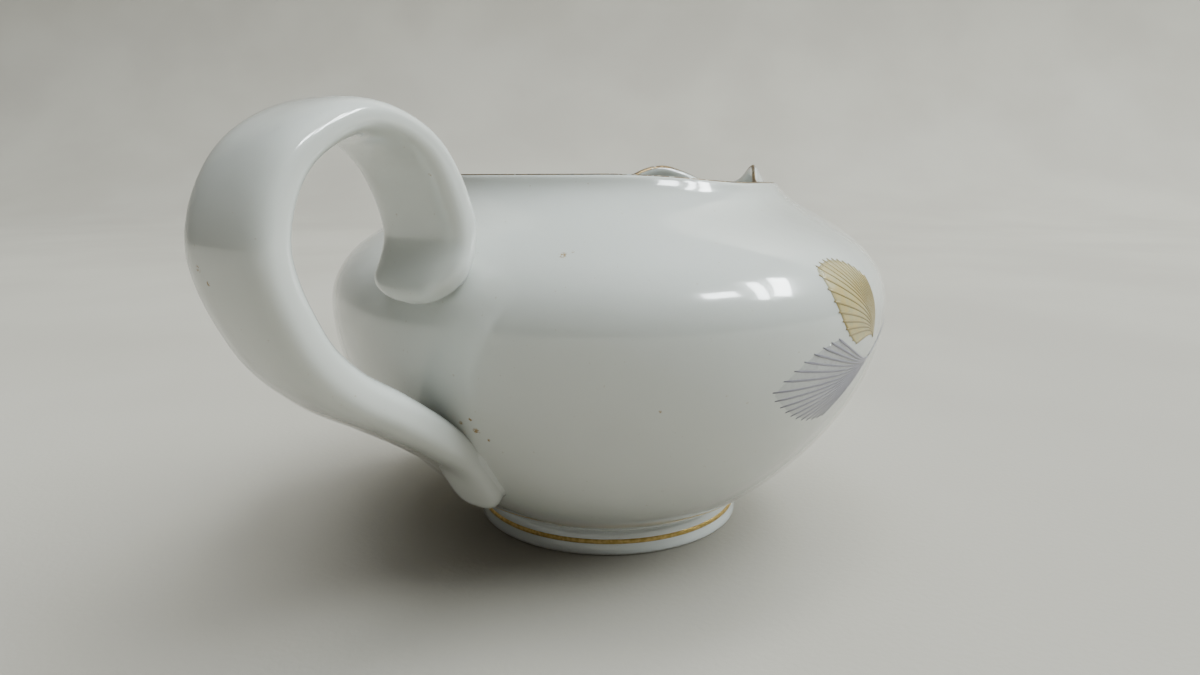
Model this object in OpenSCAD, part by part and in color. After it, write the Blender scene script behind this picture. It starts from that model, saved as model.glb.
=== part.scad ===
// Porcelain cream jug on a foot ring, with a strap handle and a pinched spout.
// Millimetres. The origin is the centre of the foot's resting face, +Z is up,
// the spout points to +X and the handle to -X.

/* [Body] */
// Radius of the belly, where the jug is widest
belly_r = 50; // [47:0.5:53]
// Height of the belly above the table
belly_z = 42; // [40:0.5:44]
// Radius of the mouth, away from the spout
mouth_r = 29; // [27:0.5:31]
// Height of the rim beside the handle
rim_z = 64.3; // [63:0.1:66]
// How far the rim dips along the sides and the spout
side_dip = 1.5; // [0:0.1:2.5]
// Thickness of the wall in the belly
belly_wall = 2.7; // [2.2:0.1:3.2]
// Thickness of the wall at the rim
rim_wall = 2.0; // [1.6:0.1:2.4]
// Thickness of the bottom in the middle
bottom_wall = 3.4; // [2.5:0.1:4.5]

/* [Spout] */
// How far the pouring lip is pulled out past the round mouth
lip_pull = 14; // [11:0.5:16]
// Half of the angle that the lip takes up
lip_half_angle = 31; // [26:1:36]
// How far the throat swells out on both sides of the lip
throat_pull = 9; // [5:0.5:10]
// Half of the angle that the throat takes up
throat_half_angle = 90; // [70:1:100]
// Height of the two raised shoulders of the lip above the rim
shoulder_rise = 3.6; // [1:0.1:5]
// Angle from the spout's middle to each raised shoulder
shoulder_angle = 15.5; // [13:0.5:18]
// Angle over which a shoulder falls away to the side
shoulder_outer_angle = 15; // [12:0.5:20]
// Angle over which a shoulder falls to the tip of the lip
shoulder_inner_angle = 10.5; // [8:0.5:15]
// How far the tip of the lip dips between its shoulders
tip_dip = 2.0; // [0:0.1:3]

/* [Foot] */
// Radius of the foot ring at the table
foot_r = 25; // [23:0.5:27]
// Height of the foot ring
foot_h = 4.2; // [3.5:0.1:5]
// Radius of the foot ring where it meets the body
neck_r = 24.2; // [22:0.1:25]
// Radius of the hollow inside the foot ring
foot_hollow_r = 20.8; // [18:0.1:21.5]
// Depth of the rounding along the ring's resting edge
foot_edge = 0.6; // [0.3:0.1:0.8]

/* [Handle] */
// Radius of the upper end's corner on the jug's left
upper_left_rounding = 2.5; // [2:0.5:7]
// Radius of the upper end's corner on the jug's right
upper_right_rounding = 6.5; // [2:0.5:7]
// Radius of the rounded lower end
lower_end_rounding = 5; // [3:0.5:6]
// Exponent of the strap's rounded section, 2 for an oval
strap_square = 2.7; // [2:0.1:4]
// How far the luting slip spreads past the lower end
lower_spread = 0.7; // [0.3:0.1:1]
// How far the luting slip stays back from the upper end's edge
upper_setback = 0.9; // [0.5:0.1:1.5]
// How far the slip reaches behind each end
slip_depth = 3.2; // [2:0.1:4]
// Height of the slip above the body at the upper end
upper_slip_height = 2.6; // [1.5:0.1:3]
// Height of the slip above the body at the lower end
lower_slip_height = 1.1; // [0.6:0.1:1.5]

/* [Decoration] */
// Thickness of the fired gilding and enamel
film = 0.12; // [0.08:0.01:0.2]
// Height of the middle of the gold line on the foot
gold_line_z = 2.45; // [1.8:0.05:3]
// Width of the gold line on the foot
gold_line_w = 0.9; // [0.5:0.1:1.2]
// Number of strokes in each fan
strokes = 19; // [11:2:21]
// Length of the longest stroke of a gold fan
gold_stroke = 19.2; // [14:0.1:21]
// Length of the longest stroke of a grey fan
grey_stroke = 25.6; // [16:0.1:27]
// Length of the longest stroke of a small fan
small_stroke = 13; // [9:0.5:15]

/* [Hidden] */

porcelain = [0.90, 0.92, 0.91];
slip_white = [0.86, 0.88, 0.87];
gilding = [0.78, 0.62, 0.30];
gold_enamel = [0.80, 0.64, 0.28];
grey_enamel = [0.60, 0.58, 0.66];

// Facets round the body and along its two profile curves
body_sides = 72;
lower_steps = 9;
upper_steps = 10;
crown_steps = 4;
// Where the inner wall leaves the lower curve and the floor begins
floor_start = 0.14;
// How the lower curve leaves the foot and how far it rises straight to the belly
foot_flare = 7.7;
foot_flare_rise = 4.3;
belly_run_below = 18.5;
// How far the belly runs straight up, and how much less of that there is at the spout
belly_run_above = 13.5;
belly_run_less = 4;
// How the shoulder comes up to the rim: its lean outside the mouth and its depth
rim_lean = 2.2;
rim_depth = 7.7;
// What the spout's pull adds to the lean and takes off the depth
lip_lean = 1.56;
lip_lean_less = 0.8;
lip_lift = 10.4;
lip_lift_less = 0.69;
// Angles that shape the rim: where the side dip is deepest, and the tip's half angle
dip_start = 90;
dip_angle = 60;
tip_angle = 10;
// The foot's hollow: how far its wall leans in, down to which height, and where
// the resting face begins
hollow_draft = 0.5;
hollow_bend_z = 1.4;
inner_edge = 2.0;
// Facets along the handle and round its section
strap_rings = 60;
slip_rings = 16;
strap_sides = 20;
// The strap's centre line from its lower end to its upper end:
// reach from the axis, height, half of its thickness, half of its width
strap_path = [
  [36.6, 12.4, 2.2, 4.8],
  [42.0, 20.8, 2.4, 5.2],
  [49.3, 27.3, 2.9, 5.6],
  [57.8, 33.2, 3.2, 6.2],
  [66.2, 38.7, 3.3, 6.7],
  [72.2, 45.4, 3.3, 7.2],
  [76.0, 55.9, 3.2, 7.4],
  [72.7, 65.2, 2.8, 7.4],
  [64.8, 70.3, 2.5, 7.8],
  [57.3, 70.0, 2.4, 7.8],
  [50.7, 65.4, 2.8, 7.8],
  [46.8, 55.8, 3.0, 7.8],
  [51.2, 46.8, 1.9, 7.7]
];
strap_spans = len(strap_path) - 1;
// Length over which an end's edge is rounded off, in half thicknesses
end_ease = 1.3;
// Where the slip starts and ends, in spans from the strap's upper and lower end
upper_slip_start = 1.3;
upper_slip_end = 0.35;
lower_slip_end = 1.6;
// How far the slip stays inside the strap on the face that is turned away
slip_overlap = 0.8;
// Fan placing: angle round the jug and height of the strokes' foot
fan_side = 91;
gold_fan_z = 38.4;
grey_fan_z = 35.6;
small_fan_turn = 17;
small_fan_z = 40;
// Shape of each fan: the way its dense edge runs on the jug's side, 1 or -1 for
// the way it opens, the angles of its first, last and longest stroke from that
// edge, and how much shorter each degree before and after the longest makes a stroke
gold_shape = [92, 1, 4, 85, 49, 0.0105, 0.0172];
grey_shape = [227.5, -1, 9, 68, 43, 0.0143, 0.0186];
small_shape = [330, 1, 9, 80, 43, 0.0135, 0.0150];
// How strongly the strokes bow, how deep the notches between their tips are,
// where the film starts along them, and how far it is let into the glaze
stroke_bow = 0.2;
stroke_notch = 0.93;
stroke_start = 0.16;
fan_rows = 8;
film_sink = 0.03;

// ---- curves ----

function bell(x, half) = abs(x) < half ? (1 + cos(180 * x / half)) / 2 : 0;
function wrap(a) = (a + 540) % 360 - 180;
function unit(v) = v / norm(v);
function bezier(p, t) =
  pow(1 - t, 3) * p[0] + 3 * pow(1 - t, 2) * t * p[1]
  + 3 * (1 - t) * t * t * p[2] + pow(t, 3) * p[3];
function bezier_way(p, t) =
  unit(pow(1 - t, 2) * (p[1] - p[0]) + 2 * (1 - t) * t * (p[2] - p[1])
  + t * t * (p[3] - p[2]));
// Places a profile point (radius, height) at an angle round the axis
function around(a, p) = [p.x * cos(a), p.x * sin(a), p.y];

// ---- the body's profile at an angle from the spout ----

function pull(a) = lip_pull * bell(a, lip_half_angle)
  + throat_pull * bell(a, throat_half_angle);
function shoulder(turn) =
  bell(turn, turn < 0 ? shoulder_inner_angle : shoulder_outer_angle);
function rim_height(a) = rim_z
  - side_dip * bell(max(abs(a) - dip_start, 0), dip_angle)
  + shoulder_rise * shoulder(abs(a) - shoulder_angle)
  - tip_dip * bell(a, tip_angle);
function lower_curve() = [
  [neck_r, foot_h],
  [neck_r + foot_flare, foot_h + foot_flare_rise],
  [belly_r, belly_z - belly_run_below],
  [belly_r, belly_z]
];
// The shoulder turns in under the rim, and the rim stands up a little from it.
// Towards the spout the shoulder follows the lip outwards.
function upper_curve(a) = let(p = pull(a), share = p / (lip_pull + throat_pull)) [
  [belly_r, belly_z],
  [belly_r, belly_z + belly_run_above - belly_run_less * share],
  [mouth_r + rim_lean + p * (lip_lean - lip_lean_less * share),
   rim_height(a) - rim_depth + lip_lift * share * (1 - lip_lift_less * share)],
  [mouth_r + p, rim_height(a) - rim_wall / 2]
];
// A point of one curve, moved inwards by depth along the curve's normal
function inset(curve, t, depth) =
  let(way = bezier_way(curve, t)) bezier(curve, t) - depth * [way.y, -way.x];
function wall_at(t) = belly_wall + (rim_wall - belly_wall) * t;

function outer_profile(a, depth = 0) = concat(
  [for (i = [0 : lower_steps]) inset(lower_curve(), i / lower_steps, depth)],
  [for (i = [1 : upper_steps]) inset(upper_curve(a), i / upper_steps, depth)]
);
function crown_profile(a) =
  let(c = upper_curve(a), way = bezier_way(c, 1), side = [way.y, -way.x],
      middle = c[3] - rim_wall / 2 * side)
  [for (i = [1 : crown_steps - 1])
    let(turn = 180 * i / crown_steps)
    middle + rim_wall / 2 * (cos(turn) * side + sin(turn) * way)];
function inner_profile(a) = concat(
  [for (i = [upper_steps : -1 : 1])
    inset(upper_curve(a), i / upper_steps, wall_at(i / upper_steps))],
  [for (i = [lower_steps : -1 : 1])
    let(t = floor_start + (1 - floor_start) * i / lower_steps)
    inset(lower_curve(), t, belly_wall)],
  [inset(lower_curve(), floor_start, belly_wall)]
);

// ---- lofting helpers ----

// Closes a stack of equal rings into a solid, with a fan at each end
module lofted(rings, start, end) {
  count = len(rings);
  sides = len(rings[0]);
  points = concat([for (r = rings) each r], [start, end]);
  low = count * sides;
  polyhedron(
    points = points,
    faces = concat(
      [for (j = [0 : sides - 1]) [low, j, (j + 1) % sides]],
      [for (i = [0 : count - 2], j = [0 : sides - 1], half = [0, 1])
        let(k = (j + 1) % sides, a = i * sides, b = (i + 1) * sides)
        half == 0 ? [a + j, b + j, b + k] : [a + j, b + k, a + k]],
      [for (j = [0 : sides - 1])
        [low + 1, (count - 1) * sides + (j + 1) % sides, (count - 1) * sides + j]]
    ),
    convexity = 6
  );
}

// Turns one profile function's points into rings round the axis
function rings_of(profiles) =
  [for (i = [0 : len(profiles[0]) - 1])
    [for (s = [0 : body_sides - 1]) around(side_angle(s), profiles[s][i])]];
function side_angle(s) = wrap(360 * s / body_sides);

// ---- body ----

module body() {
  profiles = [for (s = [0 : body_sides - 1])
    let(a = side_angle(s))
    concat(outer_profile(a), crown_profile(a), inner_profile(a))];
  color(porcelain)
    lofted(rings_of(profiles), [0, 0, foot_h], [0, 0, foot_h + bottom_wall]);
}

// The body's outside as a filled solid, grown by a margin, for fitting what touches it
module body_filled(margin = 0) {
  profiles = [for (s = [0 : body_sides - 1]) outer_profile(side_angle(s), -margin)];
  lofted(rings_of(profiles), [0, 0, foot_h - margin], [0, 0, rim_z - side_dip]);
}

module foot_ring() {
  color(porcelain)
    rotate_extrude($fn = 96)
      polygon([
        [foot_hollow_r, foot_h],
        [foot_hollow_r + hollow_draft, hollow_bend_z],
        [foot_hollow_r + inner_edge - foot_edge / 2, foot_edge / 2],
        [foot_hollow_r + inner_edge, 0],
        [foot_r - foot_edge, 0],
        [foot_r, foot_edge],
        [neck_r, foot_h]
      ]);
}

// ---- handle ----

function knot(i) = i < 0 ? 2 * strap_path[0] - strap_path[1]
  : i > strap_spans ? 2 * strap_path[strap_spans] - strap_path[strap_spans - 1]
  : strap_path[i];
// A smooth curve through the knots; s runs from 0 to strap_spans
function strap_at(s) =
  let(i = min(floor(s), strap_spans - 1), u = s - i,
      a = knot(i - 1), b = knot(i), c = knot(i + 1), d = knot(i + 2))
  0.5 * (2 * b + (c - a) * u + (2 * a - 5 * b + 4 * c - d) * u * u
  + (3 * b - a - 3 * c + d) * pow(u, 3));
function strap_way(s) =
  let(step = 0.02, a = strap_at(max(s - step, 0)), b = strap_at(min(s + step, strap_spans)))
  unit([b.x - a.x, b.y - a.y]);
// Distance along the strap from one end, near enough for rounding that end
function end_distance(s) =
  min(norm(flat(strap_at(s)) - flat(strap_at(0))),
      norm(flat(strap_at(s)) - flat(strap_at(strap_spans))));
function flat(p) = [p.x, p.y];
// Share of the full width or thickness left at a distance from a rounded end
function rounding(distance, radius) =
  distance >= radius ? 1 : sqrt(1 - pow(1 - distance / radius, 2));
function power(x) = sign(x) * pow(abs(x), 2 / strap_square);

// One section of the strap; spread widens it, and inward and outward
// thicken it towards the finger hole and away from it
function strap_ring(s, spread, inward, outward) =
  let(p = strap_at(s), way = strap_way(s), side = [-way.y, way.x],
      d = max(end_distance(s), 0.02),
      ease = rounding(d, p[2] * end_ease))
  [for (j = [0 : strap_sides - 1])
    let(turn = 360 * (j + 0.5) / strap_sides,
        deep = p[2] + (cos(turn) > 0 ? inward : outward),
        half_w = (p[3] + spread) * rounding(d, corner_r(s, turn)),
        q = flat(p) + side * deep * ease * power(cos(turn)))
    [-q.x, half_w * power(sin(turn)), q.y]];
function corner_r(s, turn) = s < strap_spans / 2 ? lower_end_rounding
  : sin(turn) > 0 ? upper_left_rounding : upper_right_rounding;
function middle(ring) = sum(ring, len(ring) - 1) / len(ring);
function sum(list, i) = i == 0 ? list[0] : list[i] + sum(list, i - 1);

// The strap between two places along its path
module strap(from, to, steps = strap_rings, spread = 0, inward = 0, outward = 0) {
  rings = [for (i = [0 : steps])
    strap_ring(from + (to - from) * (1 - cos(180 * i / steps)) / 2, spread, inward, outward)];
  lofted(rings, middle(rings[0]), middle(rings[steps]));
}

module handle() {
  color(porcelain)
    difference() {
      strap(0, strap_spans);
      body_filled();
    }
}

// The slip keeps close to the body: it is what fills the gap behind an end
module upper_handle_slip() {
  color(slip_white)
    difference() {
      intersection() {
        strap(strap_spans - upper_slip_start, strap_spans - upper_slip_end, slip_rings,
              spread = -upper_setback, inward = -slip_overlap, outward = slip_depth);
        body_filled(upper_slip_height);
      }
      strap(0, strap_spans);
      body_filled();
    }
}

module lower_handle_slip() {
  color(slip_white)
    difference() {
      intersection() {
        strap(0, lower_slip_end, slip_rings,
              spread = lower_spread, inward = slip_depth, outward = -slip_overlap);
        body_filled(lower_slip_height);
      }
      strap(0, strap_spans);
      body_filled();
    }
}

// ---- gilding ----

// A thin film over the outer half of the rounded rim
module rim_gilding() {
  steps = crown_steps / 2;
  rings = [for (s = [0 : body_sides - 1])
    let(a = side_angle(s), c = upper_curve(a), way = bezier_way(c, 1),
        side = [way.y, -way.x], centre = c[3] - rim_wall / 2 * side)
    concat(
      [for (i = [0 : steps])
        around(a, centre + rim_wall / 2 * crown_way(i, side, way))],
      [for (i = [steps : -1 : 0])
        around(a, centre + (rim_wall / 2 + film) * crown_way(i, side, way))]
    )];
  around_points = [for (r = rings) each r];
  size = len(rings[0]);
  color(gilding)
    polyhedron(
      points = around_points,
      faces = [for (s = [0 : body_sides - 1], j = [0 : size - 1], half = [0, 1])
        let(a = s * size, b = ((s + 1) % body_sides) * size, k = (j + 1) % size)
        half == 0 ? [a + j, a + k, b + k] : [a + j, b + k, b + j]],
      convexity = 6
    );
}
function crown_way(i, side, way) =
  let(turn = 180 * i / crown_steps) cos(turn) * side + sin(turn) * way;

// The foot ring's radius at a height on its outer slope
function foot_slope_r(z) = foot_r + (neck_r - foot_r) * (z - foot_edge) / (foot_h - foot_edge);

module foot_gilding() {
  low = gold_line_z - gold_line_w / 2;
  high = gold_line_z + gold_line_w / 2;
  color(gilding)
    rotate_extrude($fn = 96)
      polygon([
        [foot_slope_r(low), low],
        [foot_slope_r(low) + film, low],
        [foot_slope_r(high) + film, high],
        [foot_slope_r(high), high]
      ]);
}

// ---- painted fans ----

// Place along the body's upper or lower curve where it reaches a height
function seek(curve, z, low, high, tries) =
  let(t = (low + high) / 2)
  tries == 0 ? t
  : bezier(curve, t).y < z ? seek(curve, z, t, high, tries - 1)
  : seek(curve, z, low, t, tries - 1);
function skin_r(a, z) =
  let(curve = z < belly_z ? lower_curve() : upper_curve(wrap(a)))
  bezier(curve, seek(curve, z, 0, 1, 16)).x;
function on_skin(a, z, lift) = around(a, [skin_r(a, z) + lift, z]);

// How long the stroke at an angle from the fan's edge is, against the longest
function stroke_length(shape, angle) = angle < shape[4]
  ? 1 - shape[5] * (shape[4] - angle)
  : 1 - shape[6] * (angle - shape[4]);
// A bowed stroke from the fan's foot: it sets out along the fan's edge
function stroke_point(shape, angle, length, u) =
  let(edge = shape[0], way = edge + shape[1] * angle,
      tip = length * [cos(way), sin(way)],
      knee = stroke_bow * length * [cos(edge), sin(edge)])
  2 * (1 - u) * u * knee + u * u * tip;

// One fan as a thin film with a notched edge. Its foot is at an angle round the
// jug and a height, and flip is 1 or -1 for the jug's left or right.
module fan(paint, side, foot_z, shape, longest, flip) {
  columns = 2 * strokes - 1;
  function local(column, row) =
    let(angle = shape[2] + (shape[3] - shape[2]) * column / (columns - 1),
        notch = column % 2 == 0 ? 1 : stroke_notch,
        length = longest * stroke_length(shape, angle) * notch)
    stroke_point(shape, angle, length, stroke_start + (1 - stroke_start) * row / fan_rows);
  function placed(p, lift) = on_skin(flip * (side - p.x * 180 / PI / belly_r), foot_z + p.y, lift);
  sheet = [for (lift = [-film_sink, film], c = [0 : columns - 1], r = [0 : fan_rows])
    placed(local(c, r), lift)];
  width = fan_rows + 1;
  layer = columns * width;
  function quad(a, b, c, d) = flip * shape[1] > 0 ? [[a, b, c], [a, c, d]] : [[a, c, b], [a, d, c]];
  color(paint)
    polyhedron(
      points = sheet,
      faces = concat(
        [for (c = [0 : columns - 2], r = [0 : fan_rows - 1])
          let(a = c * width + r) each quad(a, a + width, a + width + 1, a + 1)],
        [for (c = [0 : columns - 2], r = [0 : fan_rows - 1])
          let(a = layer + c * width + r) each quad(a, a + 1, a + width + 1, a + width)],
        [for (c = [0 : columns - 2], r = [0, fan_rows])
          let(a = c * width + r, b = a + width)
          each (r == 0 ? quad(a, a + layer, b + layer, b) : quad(a, b, b + layer, a + layer))],
        [for (c = [0, columns - 1], r = [0 : fan_rows - 1])
          let(a = c * width + r, b = a + 1)
          each (c == 0 ? quad(a, b, b + layer, a + layer) : quad(a, a + layer, b + layer, b))]
      ),
      convexity = 6
    );
}
module gold_fan(flip) {
  fan(gold_enamel, fan_side, gold_fan_z, gold_shape, gold_stroke, flip);
}
module grey_fan(flip) {
  fan(grey_enamel, fan_side, grey_fan_z, grey_shape, grey_stroke, flip);
}
module small_fan(flip) {
  fan(gold_enamel, fan_side - small_fan_turn, small_fan_z, small_shape, small_stroke, flip);
}

body();
foot_ring();
handle();
upper_handle_slip();
lower_handle_slip();
rim_gilding();
foot_gilding();
gold_fan(-1);  // right_gold_fan
grey_fan(-1);  // right_grey_fan
small_fan(-1);  // right_small_fan
gold_fan(1);  // left_gold_fan
grey_fan(1);  // left_grey_fan
small_fan(1);  // left_small_fan
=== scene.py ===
"""Looks of a porcelain cream jug: glaze, gilding, painted fans, luting and a studio.

Everything is in metres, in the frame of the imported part: the origin is the centre of
the foot's resting face, +Z is up and the spout points to +X. Sizes are written in
millimetres, as the part's own are, and turned into metres where a mesh is made.
"""

import logging
import math
from dataclasses import dataclass
from enum import Enum
from typing import Callable, Iterable, Optional, Sequence, Union

import bmesh
import bpy
from mathutils import Matrix, Vector
from mathutils.bvhtree import BVHTree


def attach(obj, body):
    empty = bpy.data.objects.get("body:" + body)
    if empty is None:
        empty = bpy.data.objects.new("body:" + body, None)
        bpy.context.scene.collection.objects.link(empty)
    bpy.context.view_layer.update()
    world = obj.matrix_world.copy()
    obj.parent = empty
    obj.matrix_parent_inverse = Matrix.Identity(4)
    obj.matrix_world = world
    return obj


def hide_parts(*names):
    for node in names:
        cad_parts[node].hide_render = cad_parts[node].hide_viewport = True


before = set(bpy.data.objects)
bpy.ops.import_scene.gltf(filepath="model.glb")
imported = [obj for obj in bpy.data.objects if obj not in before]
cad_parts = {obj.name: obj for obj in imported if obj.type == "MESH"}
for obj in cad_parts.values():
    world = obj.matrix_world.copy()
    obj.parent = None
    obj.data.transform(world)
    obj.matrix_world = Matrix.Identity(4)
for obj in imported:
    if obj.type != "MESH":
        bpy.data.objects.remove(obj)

MM = 0.001
ROOT = "root"
DAYLIGHT = (0.92, 0.99, 1.0)
# Where the painted strokes start on the jug, for washes that fade away from there
GOLD_FEET = ((-0.9, -49.8, 38.4), (-0.9, 49.8, 38.4), (13.8, -48.0, 40.0), (13.8, 48.0, 40.0))
GREY_FEET = ((-0.9, -49.6, 35.6), (-0.9, 49.6, 35.6))
Colour = tuple[float, float, float]
Point2 = tuple[float, float]
log = logging.getLogger("cream_jug")


# ---- curves ----


def bell(x: float, half: float) -> float:
    """Gives a smooth hump.

    Args:
        x: distance from the hump's middle.
        half: distance at which it has fallen to nothing.

    Returns:
        1 in the middle, 0 from half outwards.
    """
    return (1 + math.cos(math.pi * x / half)) / 2 if abs(x) < half else 0.0


def mix(a: float, b: float, share: float) -> float:
    """Blends two numbers.

    Args:
        a: value at share 0.
        b: value at share 1.
        share: how far from a to b.

    Returns:
        The blended value.
    """
    return a + (b - a) * share


@dataclass(frozen=True)
class Bezier:
    """A cubic curve in the plane of radius and height."""

    a: Point2
    b: Point2
    c: Point2
    d: Point2

    def at(self, t: float) -> Vector:
        """Gives a point of the curve.

        Args:
            t: place along the curve, from 0 to 1.

        Returns:
            Radius and height.
        """
        u = 1 - t
        return (Vector(self.a) * u ** 3 + Vector(self.b) * 3 * u * u * t
                + Vector(self.c) * 3 * u * t * t + Vector(self.d) * t ** 3)

    def way(self, t: float) -> Vector:
        """Gives the curve's direction.

        Args:
            t: place along the curve, from 0 to 1.

        Returns:
            A unit vector along the curve.
        """
        u = 1 - t
        a, b, c, d = (Vector(p) for p in (self.a, self.b, self.c, self.d))
        return ((b - a) * u * u + (c - b) * 2 * u * t + (d - c) * t * t).normalized()

    def inset(self, t: float, depth: float) -> Vector:
        """Gives a point moved inwards along the curve's normal.

        Args:
            t: place along the curve, from 0 to 1.
            depth: how far inwards.

        Returns:
            Radius and height.
        """
        way = self.way(t)
        return self.at(t) - depth * Vector((way.y, -way.x))


# ---- mesh helpers ----


class MeshTools:
    """Steps that several pieces share, all made of bmesh operators."""

    @staticmethod
    def tube(stations: int, sides: int,
             place: Callable[[float, float], Vector]) -> bmesh.types.BMesh:
        """Spins a straight line into a tube and moves its points onto a surface.

        Args:
            stations: number of spans along the line.
            sides: number of spans round the tube.
            place: gives the point for an angle in radians and a station.

        Returns:
            The new mesh, with any rings of no width merged into points.
        """
        bm = bmesh.new()
        line = [bm.verts.new((1.0, 0.0, float(i))) for i in range(stations + 1)]
        edges = [bm.edges.new(pair) for pair in zip(line, line[1:])]
        bmesh.ops.spin(bm, geom=line + edges, cent=(0, 0, 0), axis=(0, 0, 1), angle=2 * math.pi,
                       steps=sides, use_merge=True)
        for v in bm.verts:
            v.co = place(math.atan2(v.co.y, v.co.x), round(v.co.z, 3))
        bmesh.ops.remove_doubles(bm, verts=bm.verts[:], dist=1e-7)
        bmesh.ops.recalc_face_normals(bm, faces=bm.faces[:])
        return bm

    @staticmethod
    def sheet(columns: int, rows: int, place: Callable[[float, float], Vector],
              thickness: float) -> bmesh.types.BMesh:
        """Makes a grid, moves its points onto a surface and gives it thickness.

        Args:
            columns: number of spans across.
            rows: number of spans along.
            place: gives the point for a share across and a share along, each from 0 to 1.
            thickness: thickness of the sheet, added under the surface.

        Returns:
            The new closed mesh.
        """
        bm = bmesh.new()
        bmesh.ops.create_grid(bm, x_segments=columns, y_segments=rows, size=0.5)
        for v in bm.verts:
            v.co = place(v.co.x + 0.5, v.co.y + 0.5)
        bmesh.ops.recalc_face_normals(bm, faces=bm.faces[:])
        bmesh.ops.solidify(bm, geom=bm.faces[:], thickness=thickness)
        bmesh.ops.recalc_face_normals(bm, faces=bm.faces[:])
        return bm

    @staticmethod
    def join(parts: Sequence[bmesh.types.BMesh]) -> bmesh.types.BMesh:
        """Puts several meshes into one.

        Args:
            parts: the meshes, which are freed.

        Returns:
            One mesh that holds them all.
        """
        whole = bmesh.new()
        for part in parts:
            holder = bpy.data.meshes.new("part")
            part.to_mesh(holder)
            part.free()
            whole.from_mesh(holder)
            bpy.data.meshes.remove(holder)
        return whole

    @staticmethod
    def finish(name: str, bm: bmesh.types.BMesh,
               material: bpy.types.Material) -> bpy.types.Object:
        """Turns a mesh into a named, smoothly shaded object at the origin.

        Args:
            name: the object's name.
            bm: its mesh, which is freed.
            material: its material.

        Returns:
            The new object.
        """
        mesh = bpy.data.meshes.new(name)
        for face in bm.faces:
            face.smooth = True
        bm.to_mesh(mesh)
        bm.free()
        mesh.materials.append(material)
        piece = bpy.data.objects.new(name, mesh)
        bpy.context.scene.collection.objects.link(piece)
        return piece


# ---- shader expressions ----


Number = Union["Value", float, int]


class Graph:
    """A material's node tree, with one method that adds any node."""

    spot_core = 0.35

    def __init__(self, name: str) -> None:
        """Makes a new material with an empty tree.

        Args:
            name: the material's name.
        """
        self.material = bpy.data.materials.new(name)
        self.material.use_nodes = True
        self.tree = self.material.node_tree
        self.tree.nodes.clear()

    def node(self, kind: str, inputs: Optional[dict] = None, **settings: object) -> bpy.types.Node:
        """Adds a node.

        Args:
            kind: the node's type name without its ShaderNode prefix.
            inputs: input name or number to a value, a plain number or a colour.
            **settings: properties of the node.

        Returns:
            The new node.
        """
        made = self.tree.nodes.new("ShaderNode" + kind)
        for key, setting in settings.items():
            setattr(made, key, setting)
        for key, given in (inputs or {}).items():
            socket = made.inputs[key]
            if isinstance(given, Value):
                self.tree.links.new(given.socket, socket)
            elif isinstance(given, bpy.types.NodeSocket):
                self.tree.links.new(given, socket)
            elif isinstance(given, tuple) and len(given) == 3 and socket.type == "RGBA":
                socket.default_value = (*given, 1.0)
            else:
                socket.default_value = given
        return made

    def place(self) -> "Value":
        """Returns:
            The point on the surface in the object's own coordinates, in metres.
        """
        return Value(self, self.node("TexCoord").outputs["Object"])

    def noise(self, where: "Value", scale: float, detail: float = 2.0) -> "Value":
        """Adds a noise.

        Args:
            where: the point to read it at.
            scale: how many bumps there are to a metre.
            detail: number of finer layers.

        Returns:
            A number around 0.5.
        """
        made = self.node("TexNoise", {"Vector": where, "Scale": scale, "Detail": detail})
        return Value(self, made.outputs["Fac"])

    def blend(self, share: Number, low: Union[Colour, "Value"],
              high: Union[Colour, "Value"]) -> "Value":
        """Mixes two colours.

        Args:
            share: 0 for the first colour, 1 for the second.
            low: the first colour.
            high: the second colour.

        Returns:
            The mixed colour.
        """
        made = self.node("Mix", data_type="RGBA")
        sockets = [s for s in made.inputs if s.enabled]
        for socket, given in zip(sockets, (share, low, high)):
            if isinstance(given, Value):
                self.tree.links.new(given.socket, socket)
            else:
                socket.default_value = (*given, 1.0) if isinstance(given, tuple) else given
        return Value(self, [s for s in made.outputs if s.enabled][0])

    def spot(self, where: "Value", middle: Vector, radius: float) -> "Value":
        """Marks a soft round spot.

        Args:
            where: the point on the surface.
            middle: the spot's middle, in metres.
            radius: its radius, in metres.

        Returns:
            1 in the middle, falling to 0 at the radius.
        """
        made = self.node("VectorMath", {0: where, 1: tuple(middle)}, operation="DISTANCE")
        return Value(self, made.outputs["Value"]).ramp(radius, radius * self.spot_core)

    def bump(self, height: "Value", strength: float, distance: float) -> bpy.types.NodeSocket:
        """Adds a bump.

        Args:
            height: the relief, from 0 to 1.
            strength: how much of it shows.
            distance: the relief's depth in metres.

        Returns:
            The socket for a shader's normal.
        """
        made = self.node("Bump", {"Height": height, "Strength": strength, "Distance": distance})
        return made.outputs["Normal"]

    def surface(self, **inputs: object) -> bpy.types.Material:
        """Ends the tree with one shader.

        Args:
            **inputs: the shader's inputs, with spaces written as underscores.

        Returns:
            The finished material.
        """
        named = {key.replace("_", " "): given for key, given in inputs.items()}
        shader = self.node("BsdfPrincipled", named)
        self.node("OutputMaterial", {"Surface": shader.outputs["BSDF"]})
        return self.material


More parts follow.
